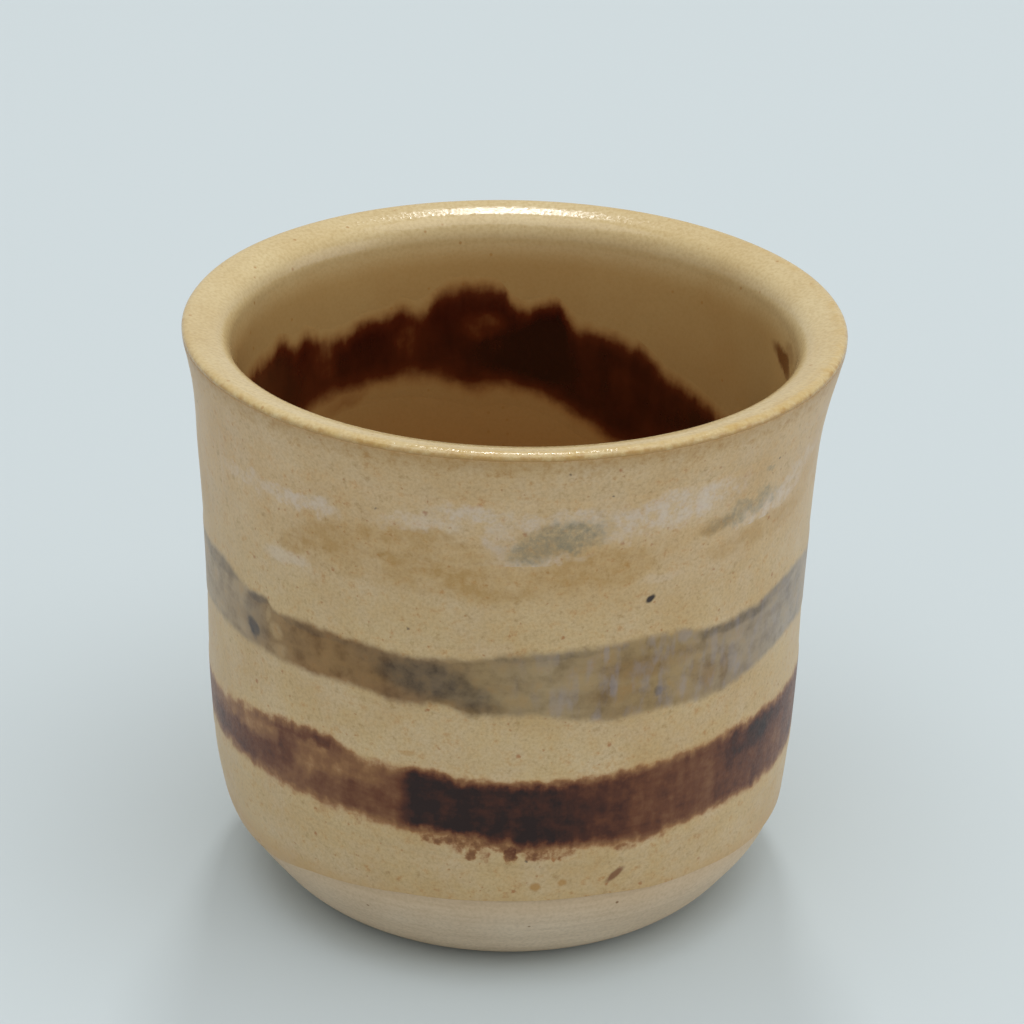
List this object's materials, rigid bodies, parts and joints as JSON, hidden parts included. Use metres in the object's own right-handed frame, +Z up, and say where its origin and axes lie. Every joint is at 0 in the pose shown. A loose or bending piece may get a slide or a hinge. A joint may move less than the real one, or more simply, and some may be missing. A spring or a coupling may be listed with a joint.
{
  "type": "espresso cup",
  "caption": "Handmade stoneware espresso cup without a handle, with a flared lip, tan glaze over a bare clay foot, and brushed grey and iron-brown bands.",
  "frame": {"origin": "centre of the foot, on the surface that the cup stands on", "axes": "+Z up along the cup's axis, -Y towards the side that the picture shows, +X to its right"},
  "size_m": [0.065, 0.065, 0.0595],
  "materials": {
    "bare_stoneware": "unglazed fired clay, matte and fine-grained",
    "liner_glaze": "glossy yellow-tan glaze",
    "outer_glaze": "satin tan glaze with fine iron speckle",
    "iron_slip": "dark red-brown brushed iron under satin glaze",
    "grey_slip": "grey-olive brushed slip under satin glaze",
    "ochre_wash": "thin ochre wash under satin glaze",
    "pale_slip": "pale lavender-white slip under satin glaze",
    "inner_iron_slip": "dark iron brown brushed under glossy glaze"
  },
  "bodies": {
    "root": {"stoneware_body": "bare_stoneware", "liner_glaze": "liner_glaze", "outer_glaze": "outer_glaze", "iron_band": "iron_slip", "grey_band": "grey_slip", "ochre_stroke": "ochre_wash", "pale_slip_stroke": "pale_slip", "inner_iron_band": "inner_iron_slip"}
  },
  "joints": []
}
